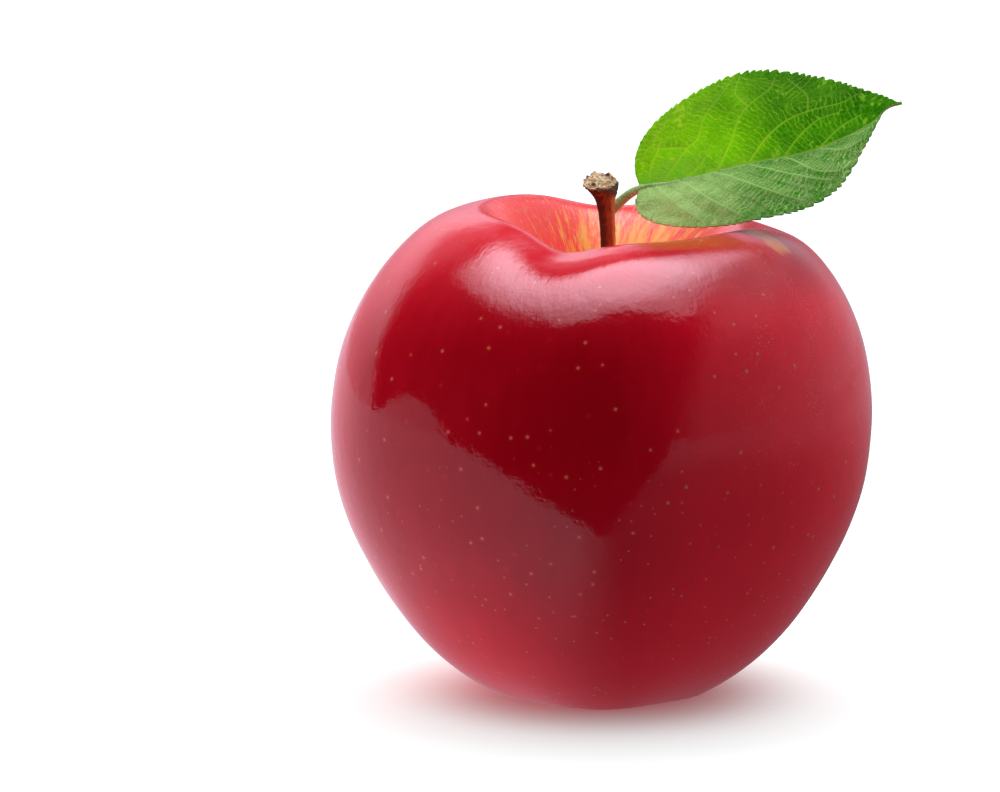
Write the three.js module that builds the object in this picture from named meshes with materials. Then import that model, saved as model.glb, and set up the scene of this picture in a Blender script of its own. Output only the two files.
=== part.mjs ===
// A dessert apple with its dried stem and one leaf, standing on the small flat spot of its base.
// Units are millimetres and +Z is up. The origin is the centre of the bottom face of the
// bounding box, on the surface that the apple stands on.
import * as THREE from "three";

// ---- Driving dimensions ----

// Fruit outline, from the bottom of the stem cavity out over the shoulder to the calyx basin.
// Each row is a control point of a smooth curve: distance from the axis, height, how far the
// shoulder lobes lift it, and how far the base lobes press it down.
const FRUIT_OUTLINE = [
  [0, 50, 0, 0],
  [2.5, 50, 0, 0],
  [6, 53.5, 0.1, 0],
  [11.1, 61.6, 0.45, 0],
  [17.2, 68.6, 0.9, 0],
  [21.4, 67.9, 1, 0],
  [27.5, 66.2, 0.7, 0],
  [37, 53, 0.25, 0],
  [38.9, 35.2, 0, 0],
  [35.4, 22.5, 0, 0.1],
  [27.9, 10, 0, 0.45],
  [20.4, 3, 0, 0.9],
  [11.2, -2.1, 0, 1],
  [8.5, -0.8, 0, 0.8],
  [4.5, 4, 0, 0.3],
  [0, 5.5, 0, 0],
];
// Shoulder lobes and saddles: direction and half angle in degrees, and lift of the rim.
const SHOULDER_LOBES = [
  { name: "right shoulder", direction: 14, spread: 50, lift: -2.8 },
  { name: "back notch", direction: 95, spread: 21, lift: -1.7 },
  { name: "left shoulder", direction: 140, spread: 41, lift: 0.7 },
  { name: "front saddle", direction: -79, spread: 45, lift: -2.4 },
  { name: "front notch", direction: -115, spread: 19, lift: -2.8 },
];
const SHOULDER_LEAN = 2.4; // how far the rim leans to the right of the flanks
const BASE_LOBES = 5;
const BASE_LOBE_DEPTH = 0.35;
const FRUIT_ROWS = 44;
const FRUIT_SIDES = 52;

// Stem: distance from its own centre line and height, from its foot to the broken knob.
const STEM_OUTLINE = [
  [0, 50.9],
  [1.1, 50.9],
  [1.25, 52.2],
  [1.0, 57],
  [1.0, 64],
  [1.12, 68.5],
  [1.65, 70.8],
  [2.25, 72.3],
  [1.9, 73.4],
  [0, 73.6],
];
const STEM_SIDES = 12;
const STEM_BOW = 1.05; // how far the middle of the stem bends to the right
const KNOB_START_Z = 71.5;
const KNOB_SLANT = 0.25; // rise per millimetre of the broken face, towards the right

// Leaf: route of the petiole and then of the midrib.
const PETIOLE_ROUTE = [
  [0.5, 2.05, 65.2],
  [0.9, 2.1, 67.2],
  [2.4, 2.15, 69],
];
const MIDRIB_ROUTE = [
  [5, 1.8, 70.9],
  [10.3, 1.1, 72],
  [20.4, 0, 74.6],
  [28.8, -0.8, 76.4],
  [36.8, -1.5, 80.1],
  [39.4, -1.7, 82.4],
  [41.5, -1.8, 83.1],
];
const PETIOLE_RADIUS = 0.6;
const BLADE_THICKNESS = 0.5;
const MIDRIB_THICKNESS = 1.0;
const UPPER_HALF_WIDTH = 14;
const LOWER_HALF_WIDTH = 13.6;
const BASE_ROUNDNESS = 0.38; // exponents that shape the blade's half width along the midrib
const TIP_LENGTH = 3;
const TIP_SHARPNESS = 1.3;
const WIDEST_SHARE = 0.652; // value of that shape where the blade is widest
const UPPER_HALF_TILT = 29; // degrees that the upper half leans back from upright
const LOWER_HALF_DROP = 29; // degrees that the lower half slopes below level, to the front
const TIP_CURL = 50; // degrees that the lower half curls up towards the tip
const TIP_CURL_START = 0.7; // share of the midrib where that curl begins
const UPPER_BASE_SWEEP = 0.08; // how far each half sweeps back past the petiole at its base
const LOWER_BASE_SWEEP = 0.55;
const BLADE_DISH = 0.09; // how far each half is dished, as a share of its width
const PETIOLE_ROWS = 6;
const BLADE_ROWS = 24;
const BLADE_COLUMNS = 10;

// Dried calyx in the basin under the fruit.
const SEPAL_COUNT = 5;
const SEPAL_RING_RADIUS = 2.1;
const SEPAL_LENGTH = 4.6;
const SEPAL_WIDTH = 2.6;
const SEPAL_THICKNESS = 0.5;
const SEPAL_CURL = 95; // degrees that a sepal bends outwards from its foot to its tip
const SEPAL_ROWS = 7;
const SEPAL_FOOT_Z = 4.25;
const TUFT_RADIUS = 0.9;
const TUFT_HEIGHT = 2.6;
const TUFT_TOP_Z = 4.6;
const TUFT_POINTS = 6;

const AXIS_X = -0.44; // the fruit's axis
const RADIANS = Math.PI / 180;

// ---- Shape helpers ----

// Point of a clamped uniform cubic B-spline through rows of numbers, at share 0 to 1.
function splinePoint(rows, share) {
  const spans = rows.length - 3;
  const knot = (i) => Math.min(Math.max(i - 3, 0), spans);
  const position = Math.min(share, 1 - 1e-9) * spans;
  const span = Math.floor(position) + 3;
  const near = [0, 1, 2, 3].map((i) => [...rows[span - 3 + i]]);
  for (let level = 1; level <= 3; level++) {
    for (let i = 3; i >= level; i--) {
      const start = knot(span - 3 + i);
      const end = knot(span + 1 + i - level);
      const blend = (position - start) / (end - start);
      near[i] = near[i].map((value, k) => (1 - blend) * near[i - 1][k] + blend * value);
    }
  }
  return near[3];
}

// Closed solid through a list of rings, each with the same number of points, capped by fans.
function loft(rings) {
  const sides = rings[0].length;
  const points = rings.flat();
  const faces = [];
  for (let row = 0; row + 1 < rings.length; row++) {
    for (let side = 0; side < sides; side++) {
      const a = row * sides + side;
      const b = row * sides + ((side + 1) % sides);
      faces.push(a, b, b + sides, a, b + sides, a + sides);
    }
  }
  const capMiddle = (ring) =>
    ring.reduce((sum, p) => sum.add(p), new THREE.Vector3()).divideScalar(sides);
  const first = points.push(capMiddle(rings[0])) - 1;
  const last = points.push(capMiddle(rings[rings.length - 1])) - 1;
  const lastRow = (rings.length - 1) * sides;
  for (let side = 0; side < sides; side++) {
    const next = (side + 1) % sides;
    faces.push(first, next, side);
    faces.push(last, lastRow + side, lastRow + next);
  }
  const geometry = new THREE.BufferGeometry().setFromPoints(points);
  geometry.setIndex(faces);
  geometry.computeVertexNormals();
  return geometry;
}

function subpart(name, geometry, material) {
  const mesh = new THREE.Mesh(geometry, new THREE.MeshStandardMaterial(material));
  mesh.name = name;
  return mesh;
}

// ---- Fruit ----

// Lift of the shoulder rim in one direction, from all the lobes and saddles.
function shoulderLift(angle) {
  return SHOULDER_LOBES.reduce((lift, lobe) => {
    const turn = angle - lobe.direction * RADIANS;
    const away = Math.atan2(Math.sin(turn), Math.cos(turn)) / (lobe.spread * RADIANS);
    return lift + lobe.lift * Math.exp(-away * away);
  }, 0);
}

// A lathed outline whose rim and base are then lifted and pressed in each direction. What would
// reach below the surface is flattened: that is the small flat spot that the apple stands on.
function fruit() {
  const rows = Array.from({ length: FRUIT_ROWS + 1 }, (_, i) =>
    splinePoint(FRUIT_OUTLINE, i / FRUIT_ROWS),
  );
  const outline = rows.map(([radius, height]) => new THREE.Vector2(Math.max(radius, 0), height));
  outline.reverse();
  rows.reverse();
  const geometry = new THREE.LatheGeometry(outline, FRUIT_SIDES).rotateX(Math.PI / 2);
  const position = geometry.getAttribute("position");
  for (let i = 0; i < position.count; i++) {
    const [, , shoulder, base] = rows[i % rows.length];
    const x = position.getX(i);
    const y = position.getY(i);
    const angle = Math.atan2(y, x);
    const baseLift = -BASE_LOBE_DEPTH * Math.cos(BASE_LOBES * (angle + Math.PI / 2));
    const height = position.getZ(i) + shoulder * shoulderLift(angle) + base * baseLift;
    position.setXYZ(i, x + AXIS_X + SHOULDER_LEAN * shoulder, y, Math.max(height, 0));
  }
  geometry.computeVertexNormals();
  return subpart("fruit", geometry, { color: 0x9c0a1c, roughness: 0.2, metalness: 0 });
}

// ---- Stem ----

// A lathed shaft that bends a little to the right and back, and ends in a slanted, broken knob.
function stem() {
  const outline = STEM_OUTLINE.map(([radius, height]) => new THREE.Vector2(radius, height));
  const geometry = new THREE.LatheGeometry(outline, STEM_SIDES).rotateX(Math.PI / 2);
  const position = geometry.getAttribute("position");
  const foot = STEM_OUTLINE[0][1];
  const top = STEM_OUTLINE[STEM_OUTLINE.length - 1][1];
  for (let i = 0; i < position.count; i++) {
    const x = position.getX(i);
    const z = position.getZ(i);
    const share = (z - foot) / (top - foot);
    const bow = STEM_BOW * Math.sin(Math.PI * share);
    const slant = z > KNOB_START_Z ? KNOB_SLANT * x : 0;
    position.setX(i, x + AXIS_X + bow);
    position.setZ(i, z + slant);
  }
  geometry.computeVertexNormals();
  return subpart("stem", geometry, { color: 0x5a3320, roughness: 0.75, metalness: 0 });
}

// ---- Leaf ----

// One cross section of the leaf at a point of its route, square to the direction along: over the
// top face from the lower margin to the upper one, and back along the underside.
function leafRing({ centre, along, upper, lower, thickness }) {
  const across = (half, y, z) => {
    const direction = new THREE.Vector3(0, y, z);
    direction.addScaledVector(along, -direction.dot(along)).normalize();
    return { ...half, outwards: direction };
  };
  const tilt = UPPER_HALF_TILT * RADIANS;
  const drop = lower.drop * RADIANS;
  const upperHalf = across(upper, Math.sin(tilt), Math.cos(tilt));
  const lowerHalf = across(lower, -Math.cos(drop), -Math.sin(drop));
  const face = upperHalf.outwards.clone().sub(lowerHalf.outwards).cross(along).normalize();
  const point = (share, side) => {
    const { outwards, width, sweep } = share >= 0 ? upperHalf : lowerHalf;
    const reach = Math.abs(share);
    const dish = -BLADE_DISH * width * Math.sin(Math.PI * reach) + (side * thickness(reach)) / 2;
    return centre
      .clone()
      .addScaledVector(outwards, width * reach)
      .addScaledVector(along, -sweep * width * reach)
      .addScaledVector(face, dish);
  };
  const shares = Array.from({ length: BLADE_COLUMNS + 1 }, (_, i) => (2 * i) / BLADE_COLUMNS - 1);
  const top = shares.map((share) => point(share, 1));
  const underside = shares.map((share) => point(share, -1)).reverse();
  return [...top, ...underside];
}

// How full the blade is at a share of the midrib, from 0 at its ends to 1 where it is widest.
function bladeFullness(share) {
  return (share ** BASE_ROUNDNESS * (1 - share ** TIP_LENGTH) ** TIP_SHARPNESS) / WIDEST_SHARE;
}

// Petiole and blade grown as one piece: a thin stalk that opens into a folded, pointed blade.
function leaf() {
  const route = (rows) => new THREE.CatmullRomCurve3(rows.map((row) => new THREE.Vector3(...row)));
  const stalk = route([...PETIOLE_ROUTE, MIDRIB_ROUTE[0]]);
  const midrib = route(MIDRIB_ROUTE);
  const rings = [];
  for (let i = 0; i < PETIOLE_ROWS; i++) {
    const share = i / PETIOLE_ROWS;
    const half = { width: PETIOLE_RADIUS, sweep: 0, drop: LOWER_HALF_DROP };
    const thickness = (reach) => 2 * PETIOLE_RADIUS * Math.sqrt(1.15 - reach * reach);
    const centre = stalk.getPointAt(share);
    const along = stalk.getTangentAt(share);
    rings.push(leafRing({ centre, along, upper: half, lower: half, thickness }));
  }
  const along = midrib.getPointAt(1).sub(midrib.getPointAt(0)).normalize();
  for (let i = 0; i <= BLADE_ROWS; i++) {
    const share = i / BLADE_ROWS;
    const widthOf = (widest) => Math.max(widest * bladeFullness(share), PETIOLE_RADIUS / 2);
    const fade = (1 - share) ** 3;
    const curl = Math.max(share - TIP_CURL_START, 0) / (1 - TIP_CURL_START);
    const drop = LOWER_HALF_DROP - TIP_CURL * curl ** 1.5;
    const upper = { width: widthOf(UPPER_HALF_WIDTH), sweep: UPPER_BASE_SWEEP * fade };
    const lower = { width: widthOf(LOWER_HALF_WIDTH), sweep: LOWER_BASE_SWEEP * fade, drop };
    const ridge = THREE.MathUtils.lerp(MIDRIB_THICKNESS, BLADE_THICKNESS, share);
    const thickness = (reach) => THREE.MathUtils.lerp(ridge, BLADE_THICKNESS, Math.min(4 * reach, 1));
    rings.push(leafRing({ centre: midrib.getPointAt(share), along, upper, lower, thickness }));
  }
  return subpart("leaf", loft(rings), { color: 0x6f8f3a, roughness: 0.55, metalness: 0 });
}

// ---- Calyx ----

// One dried sepal: a pointed strip that hangs from the basin and curls outwards.
function sepal(index) {
  const angle = (index / SEPAL_COUNT) * 2 * Math.PI;
  const outwards = new THREE.Vector3(Math.cos(angle), Math.sin(angle), 0);
  const sideways = new THREE.Vector3(-Math.sin(angle), Math.cos(angle), 0);
  const centre = outwards.clone().multiplyScalar(SEPAL_RING_RADIUS);
  centre.x += AXIS_X;
  centre.z = SEPAL_FOOT_Z;
  const rings = [];
  for (let row = 0; row <= SEPAL_ROWS; row++) {
    const share = row / SEPAL_ROWS;
    const bend = SEPAL_CURL * RADIANS * share;
    const along = outwards.clone().multiplyScalar(Math.sin(bend));
    along.z = -Math.cos(bend);
    const face = outwards.clone().multiplyScalar(Math.cos(bend));
    face.z = Math.sin(bend);
    const width = (SEPAL_WIDTH / 2) * (1 - 0.8 * share ** 1.5);
    const corner = (side, layer) =>
      centre
        .clone()
        .addScaledVector(sideways, side * width)
        .addScaledVector(face, (layer * SEPAL_THICKNESS) / 2);
    rings.push([corner(-1, 1), corner(-1, -1), corner(1, -1), corner(1, 1)]);
    centre.addScaledVector(along, SEPAL_LENGTH / SEPAL_ROWS);
  }
  return subpart(`sepal_${index + 1}`, loft(rings), { color: 0x4a3422, roughness: 0.85, metalness: 0 });
}

// The shrivelled stamens and style: one ridged tuft that hangs in the middle of the sepals.
function stamenTuft() {
  const sides = 2 * TUFT_POINTS;
  const rings = [0, 0.5, 1].map((share) =>
    Array.from({ length: sides }, (_, i) => {
      const angle = (i / sides) * 2 * Math.PI;
      const ridge = i % 2 ? 0.6 : 1;
      const radius = TUFT_RADIUS * ridge * (1 - 0.45 * share);
      const x = AXIS_X + radius * Math.cos(angle);
      return new THREE.Vector3(x, radius * Math.sin(angle), TUFT_TOP_Z - TUFT_HEIGHT * (1 - share));
    }),
  );
  return subpart("stamen_tuft", loft(rings), { color: 0x2e2016, roughness: 0.9, metalness: 0 });
}

// ---- Assembly ----

const apple = new THREE.Group();
apple.name = "apple";
apple.add(fruit(), stem(), leaf());
for (let index = 0; index < SEPAL_COUNT; index++) apple.add(sepal(index));
apple.add(stamenTuft());

const bounds = new THREE.Box3().setFromObject(apple, true);
const middle = bounds.getCenter(new THREE.Vector3());
apple.position.set(-middle.x, -middle.y, -bounds.min.z);

export default apple;
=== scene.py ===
"""A ripe red apple on its base, with its woody stem, one fresh leaf and its dried calyx.

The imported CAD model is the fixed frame. Sizes are in millimetres and become metres when a mesh is
placed; +Z is up and the front of the apple is toward -Y.
"""

import logging
import math
from dataclasses import dataclass
from enum import Enum
from typing import Any, Optional, Sequence, Union

import bpy
import numpy as np
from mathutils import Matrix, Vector

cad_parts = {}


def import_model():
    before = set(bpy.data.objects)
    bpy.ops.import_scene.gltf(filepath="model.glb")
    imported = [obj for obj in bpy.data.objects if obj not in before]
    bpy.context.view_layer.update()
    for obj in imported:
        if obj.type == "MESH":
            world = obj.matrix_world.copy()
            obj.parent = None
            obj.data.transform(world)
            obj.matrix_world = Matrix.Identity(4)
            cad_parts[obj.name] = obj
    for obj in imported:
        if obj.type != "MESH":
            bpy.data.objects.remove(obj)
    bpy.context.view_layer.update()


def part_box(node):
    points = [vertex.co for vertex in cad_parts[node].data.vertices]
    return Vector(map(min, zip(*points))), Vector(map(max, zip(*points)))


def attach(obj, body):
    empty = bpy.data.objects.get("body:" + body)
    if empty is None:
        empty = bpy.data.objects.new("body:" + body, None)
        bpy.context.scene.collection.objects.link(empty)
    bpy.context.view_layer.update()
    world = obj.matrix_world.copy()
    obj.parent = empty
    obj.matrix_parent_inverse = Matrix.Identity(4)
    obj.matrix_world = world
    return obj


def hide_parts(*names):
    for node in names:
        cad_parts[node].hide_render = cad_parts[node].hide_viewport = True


log = logging.getLogger("apple")

MM = 0.001
TINY = 1e-6
LEAF_ASIDE = 0.44
Colour = tuple[float, float, float]
Number = Union[int, float]


class Slot(Enum):
    """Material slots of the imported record."""

    SKIN = "fruit_skin"
    BARK = "stem_bark"
    LEAF = "leaf_blade"
    CALYX = "dried_calyx"


# ---- Curves and smooth shapes ----


def spline(rows: Sequence[Sequence[float]], shares: np.ndarray) -> np.ndarray:
    """Points of a clamped uniform cubic B-spline.

    Args:
        rows: Control points, each a row of numbers.
        shares: Where to read the curve, from 0 at its start to 1 at its end.

    Returns:
        One row of numbers for each share.
    """
    points = np.asarray(rows, float)
    spans = len(points) - 3
    knots = np.concatenate([np.zeros(3), np.arange(spans + 1), np.full(3, spans)])
    position = np.clip(shares, 0, 1 - 1e-9) * spans
    span = position.astype(int) + 3
    near = [points[span - 3 + i] for i in range(4)]
    for level in range(1, 4):
        for i in range(3, level - 1, -1):
            start = knots[span - 3 + i]
            end = knots[span + 1 + i - level]
            blend = ((position - start) / (end - start))[:, None]
            near[i] = (1 - blend) * near[i - 1] + blend * near[i]
    return near[3]


def smooth_route(points: Sequence[Sequence[float]], shares: np.ndarray) -> np.ndarray:
    """Points of a smooth curve through others, evenly spaced along its length.

    Args:
        points: The points that the curve passes through.
        shares: Where to read the curve, as shares of its length.

    Returns:
        One point for each share.
    """
    given = np.asarray(points, float)
    padded = np.vstack([2 * given[0] - given[1], given, 2 * given[-1] - given[-2]])
    pieces = []
    for i in range(len(given) - 1):
        a, b, c, d = padded[i : i + 4]
        ta = 0.0
        tb = ta + np.linalg.norm(b - a) ** 0.5
        tc = tb + np.linalg.norm(c - b) ** 0.5
        td = tc + np.linalg.norm(d - c) ** 0.5
        t = np.linspace(tb, tc, 60, endpoint=False)[:, None]
        ab = (tb - t) / (tb - ta) * a + (t - ta) / (tb - ta) * b
        bc = (tc - t) / (tc - tb) * b + (t - tb) / (tc - tb) * c
        cd = (td - t) / (td - tc) * c + (t - tc) / (td - tc) * d
        left = (tc - t) / (tc - ta) * ab + (t - ta) / (tc - ta) * bc
        right = (td - t) / (td - tb) * bc + (t - tb) / (td - tb) * cd
        pieces.append((tc - t) / (tc - tb) * left + (t - tb) / (tc - tb) * right)
    pieces.append(given[-1:])
    curve = np.vstack(pieces)
    run = np.concatenate([[0], np.cumsum(np.linalg.norm(np.diff(curve, axis=0), axis=1))])
    return np.stack([np.interp(shares * run[-1], run, curve[:, k]) for k in range(3)], axis=1)


def ease(low: float, high: float, value: np.ndarray) -> np.ndarray:
    """Smooth step of value from 0 at low to 1 at high."""
    t = np.clip((value - low) / (high - low), 0, 1)
    return t * t * (3 - 2 * t)


def ripple(points: np.ndarray, wavelength: float, seed: int, count: int = 12) -> np.ndarray:
    """Gentle random waves through space, from about -1 to 1.

    Args:
        points: Where to read the waves.
        wavelength: Their mean wavelength, in the points' unit.
        seed: Seed of their directions and phases.
        count: How many waves are summed.

    Returns:
        One number for each point.
    """
    rng = np.random.default_rng(seed)
    total = np.zeros(len(points))
    for _ in range(count):
        direction = rng.normal(size=3)
        direction /= np.linalg.norm(direction)
        length = wavelength * rng.uniform(0.65, 1.5)
        phase = rng.uniform(0, 2 * math.pi)
        total += np.sin(points @ direction * (2 * math.pi / length) + phase)
    return total / math.sqrt(count)


def normalised(vectors: np.ndarray) -> np.ndarray:
    """Each row at length 1."""
    return vectors / np.maximum(np.linalg.norm(vectors, axis=-1, keepdims=True), 1e-12)


# ---- Meshes ----


def deselect_all() -> None:
    """Clears the selection, so that an operator acts only on what is made next."""
    for other in bpy.context.selected_objects:
        other.select_set(False)


def vertex_points(piece: bpy.types.Object) -> np.ndarray:
    """The piece's vertices, one row each.

    Args:
        piece: The piece.

    Returns:
        Their places, in metres.
    """
    points = np.empty(len(piece.data.vertices) * 3)
    piece.data.vertices.foreach_get("co", points)
    return points.reshape(-1, 3)


def place_vertices(piece: bpy.types.Object, points_mm: np.ndarray) -> None:
    """Moves every vertex to a place given in millimetres."""
    piece.data.vertices.foreach_set("co", (points_mm * MM).ravel())
    piece.data.update()


def paint_vertices(piece: bpy.types.Object, name: str, values: np.ndarray) -> None:
    """Stores one number at each vertex, for the piece's material to read."""
    layer = piece.data.attributes.new(name, "FLOAT", "POINT")
    layer.data.foreach_set("value", values.astype(np.float32))


def add_ball(name: str, sides: int, rows: int) -> tuple[bpy.types.Object, np.ndarray, np.ndarray]:
    """Adds a round closed skin to be shaped by rows and sides.

    Args:
        name: Name of the piece.
        sides: Faces around the vertical axis.
        rows: Faces from pole to pole.

    Returns:
        The piece, and for each vertex its share of the way up from the lower pole and its
        angle around the axis.
    """
    deselect_all()
    bpy.ops.mesh.primitive_uv_sphere_add(segments=sides, ring_count=rows, radius=1)
    piece = bpy.context.object
    piece.name = piece.data.name = name
    unit = vertex_points(piece)
    share = 1 - np.arccos(np.clip(unit[:, 2], -1, 1)) / math.pi
    angle = np.arctan2(unit[:, 1], unit[:, 0])
    bpy.ops.object.shade_smooth()
    return piece, share, angle


def add_sheet(name: str, rows: int, columns: int) -> tuple[bpy.types.Object, np.ndarray, np.ndarray]:
    """Adds a flat sheet to be shaped.

    Args:
        name: Name of the piece.
        rows: Faces along the sheet.
        columns: Faces across it.

    Returns:
        The piece, and for each vertex its share along, from 0 to 1, and across, from -1 to 1.
    """
    deselect_all()
    bpy.ops.mesh.primitive_grid_add(x_subdivisions=rows, y_subdivisions=columns, size=2)
    piece = bpy.context.object
    piece.name = piece.data.name = name
    unit = vertex_points(piece)
    bpy.ops.object.shade_smooth()
    return piece, (unit[:, 0] + 1) / 2, unit[:, 1]


def thicken(piece: bpy.types.Object, thickness: float, lining: int = 0) -> None:
    """Gives a sheet its thickness, on its underside.

    Args:
        piece: The sheet.
        thickness: In millimetres.
        lining: How many material slots further on the underside's finish is.
    """
    deselect_all()
    bpy.context.view_layer.objects.active = piece
    piece.select_set(True)
    wall = piece.modifiers.new("wall", "SOLIDIFY")
    wall.thickness = thickness * MM
    wall.offset = -1
    wall.material_offset = lining
    bpy.ops.object.modifier_apply(modifier=wall.name)


def sweep(
    name: str, route: Sequence[Sequence[float]], radii: Sequence[Sequence[float]], sides: int, rows: int
) -> tuple[bpy.types.Object, np.ndarray, np.ndarray]:
    """Adds a round stalk along a smooth route, closed at both ends.

    Args:
        name: Name of the piece.
        route: Points that the middle of the stalk passes through.
        radii: Control rows of share along the route and radius.
        sides: Faces around it.
        rows: Faces along it.

    Returns:
        The piece, each vertex's share along and its angle.
    """
    piece, share, angle = add_ball(name, sides, rows)
    along_radius = spline(radii, share)
    along = np.clip(along_radius[:, 0], 0, 1)
    middle = smooth_route(route, along)
    before = smooth_route(route, np.clip(along - 0.01, 0, 1))
    after = smooth_route(route, np.clip(along + 0.01, 0, 1))
    ahead = normalised(after - before)
    reference = np.array([0.0, 1.0, 0.0])
    side = normalised(np.cross(reference, ahead))
    back = np.cross(ahead, side)
    ring = np.cos(angle)[:, None] * side + np.sin(angle)[:, None] * back
    place_vertices(piece, middle + np.maximum(along_radius[:, 1], 0)[:, None] * ring)
    return piece, along, angle


def hand_over(piece: bpy.types.Object, slot: Slot, *nodes: str) -> None:
    """Ties a finished piece to the frame and reports it.

    Args:
        piece: The piece.
        slot: The record's material slot that its finish belongs to; not used.
        nodes: CAD nodes that it stands for.
    """
    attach(piece, "root")
    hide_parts(*nodes)
    log.info("%s: %d faces, stands for %s", piece.name, len(piece.data.polygons), ", ".join(nodes))


# ---- Shader writing ----


class Shade:
    """An output socket that joins into sums and products like a number."""

    def __init__(self, graph: "ShaderGraph", socket: bpy.types.NodeSocket) -> None:
        """Wraps the socket of a graph's node."""
        self.graph = graph
        self.socket = socket

    def __add__(self, other: "Operand") -> "Shade":
        """Sum."""
        return self.graph.maths("ADD", self, other)

    __radd__ = __add__

    def __sub__(self, other: "Operand") -> "Shade":
        """Difference."""
        return self.graph.maths("SUBTRACT", self, other)

    def __rsub__(self, other: "Operand") -> "Shade":
        """Difference from a number."""
        return self.graph.maths("SUBTRACT", other, self)

    def __mul__(self, other: "Operand") -> "Shade":
        """Product."""
        return self.graph.maths("MULTIPLY", self, other)

    __rmul__ = __mul__

    def __truediv__(self, other: "Operand") -> "Shade":
        """Quotient."""
        return self.graph.maths("DIVIDE", self, other)

    def __rtruediv__(self, other: "Operand") -> "Shade":
        """Quotient of a number."""
        return self.graph.maths("DIVIDE", other, self)

    def __neg__(self) -> "Shade":
        """Opposite."""
        return self.graph.maths("MULTIPLY", self, -1.0)

    def at_least(self, other: "Operand") -> "Shade":
        """The larger of the two."""
        return self.graph.maths("MAXIMUM", self, other)

    def at_most(self, other: "Operand") -> "Shade":
        """The smaller of the two."""
        return self.graph.maths("MINIMUM", self, other)

    def step(self, low: float, high: float) -> "Shade":
        """Smooth step from 0 at low to 1 at high, where high may be the lower number."""
        settings = {"interpolation_type": "SMOOTHSTEP"}
        return self.graph.node("ShaderNodeMapRange", settings, {0: self, 1: low, 2: high})


Operand = Union[Shade, Number]


class ShaderGraph:
    """A node tree that is written as expressions."""

    def __init__(self, tree: bpy.types.NodeTree) -> None:
        """Empties the tree."""
        self.tree = tree
        tree.nodes.clear()

    def node(
        self,
        kind: str,
        settings: Optional[dict[str, Any]] = None,
        inputs: Optional[dict[Union[int, str], Any]] = None,
        output: Union[int, str] = 0,
    ) -> Shade:
        """Adds a node.

        Args:
            kind: Blender's name of the node type.
            settings: Properties of the node, set first.
            inputs: Values or links of its sockets.
            output: The output to go on with.

        Returns:
            That output.
        """
        made = self.tree.nodes.new(kind)
        for name, value in (settings or {}).items():
            setattr(made, name, value)
        for key, value in (inputs or {}).items():
            if isinstance(value, Shade):
                self.tree.links.new(value.socket, made.inputs[key])
            else:
                made.inputs[key].default_value = value
        return Shade(self, made.outputs[output] if made.outputs else None)

    def maths(self, operation: str, *values: Operand) -> Shade:
        """One Math node."""
        return self.node("ShaderNodeMath", {"operation": operation}, dict(enumerate(values)))

    def vector(self, operation: str, *values: Any, output: int = 0) -> Shade:
        """One Vector Math node."""
        inputs = dict(enumerate(values))
        return self.node("ShaderNodeVectorMath", {"operation": operation}, inputs, output)

    def scaled(self, vector: Shade, factor: float) -> Shade:
        """A vector times a number."""
        return self.node("ShaderNodeVectorMath", {"operation": "SCALE"}, {0: vector, 3: factor})

    def parts(self, vector: Shade) -> tuple[Shade, Shade, Shade]:
        """A vector's three numbers."""
        made = self.node("ShaderNodeSeparateXYZ", None, {0: vector}).socket.node
        return tuple(Shade(self, made.outputs[i]) for i in range(3))

    def joined(self, x: Operand, y: Operand, z: Operand) -> Shade:
        """A vector of three numbers."""
        return self.node("ShaderNodeCombineXYZ", None, {0: x, 1: y, 2: z})

    def mix(self, factor: Operand, first: Any, second: Any) -> Shade:
        """A blend of two colours.

        Args:
            factor: Share of the second.
            first: A colour or a link.
            second: A colour or a link.

        Returns:
            The mixed colour.
        """
        four = [(*value, 1) if isinstance(value, tuple) else value for value in (first, second)]
        return self.node("ShaderNodeMix", {"data_type": "RGBA"}, {0: factor, 6: four[0], 7: four[1]}, 2)

    def painted(self, name: str) -> Shade:
        """A number stored at the piece's vertices."""
        return self.node("ShaderNodeAttribute", {"attribute_name": name}, None, "Fac")

    def noise(self, where: Shade, scale: float, detail: float = 2, rough: float = 0.5) -> Shade:
        """Smooth noise, mostly from 0.3 to 0.7.

        Args:
            where: Where to read it.
            scale: How many features fit in one unit.
            detail: Octaves.
            rough: Strength of the finer octaves.

        Returns:
            One number.
        """
        inputs = {"Vector": where, "Scale": scale, "Detail": detail, "Roughness": rough}
        return self.node("ShaderNodeTexNoise", None, inputs)

    def cells(self, where: Shade, scale: float, feature: str = "F1") -> Shade:
        """Distance to the nearest of many scattered points, or to the edge between two.

        Args:
            where: Where to read it.
            scale: How many points fit in one unit.
            feature: "F1" or "DISTANCE_TO_EDGE".

        Returns:
            The distance, in cells.
        """
        inputs = {"Vector": where, "Scale": scale}
        return self.node("ShaderNodeTexVoronoi", {"feature": feature}, inputs, "Distance")

    def toward(self, around: Shade, degrees: float) -> Shade:
        """How nearly a unit direction round the axis points one way, from -1 to 1."""
        turn = math.radians(degrees)
        return self.vector("DOT_PRODUCT", around, (math.cos(turn), math.sin(turn), 0), output=1)

    def relief(self, height: Shade, depth: float) -> Shade:
        """A normal from a height.

        Args:
            height: The height, from 0 to 1.
            depth: What a height of 1 stands for, in millimetres.

        Returns:
            The normal.
        """
        inputs = {"Strength": 1.0, "Distance": depth * MM, "Height": height}
        return self.node("ShaderNodeBump", None, inputs)


def new_material(name: str) -> tuple[bpy.types.Material, ShaderGraph]:
    """An empty material and its graph.

    Args:
        name: Its name.

    Returns:
        The material, and the graph to build it with.
    """
    material = bpy.data.materials.new(name)
    material.use_nodes = True
    return material, ShaderGraph(material.node_tree)


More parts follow.
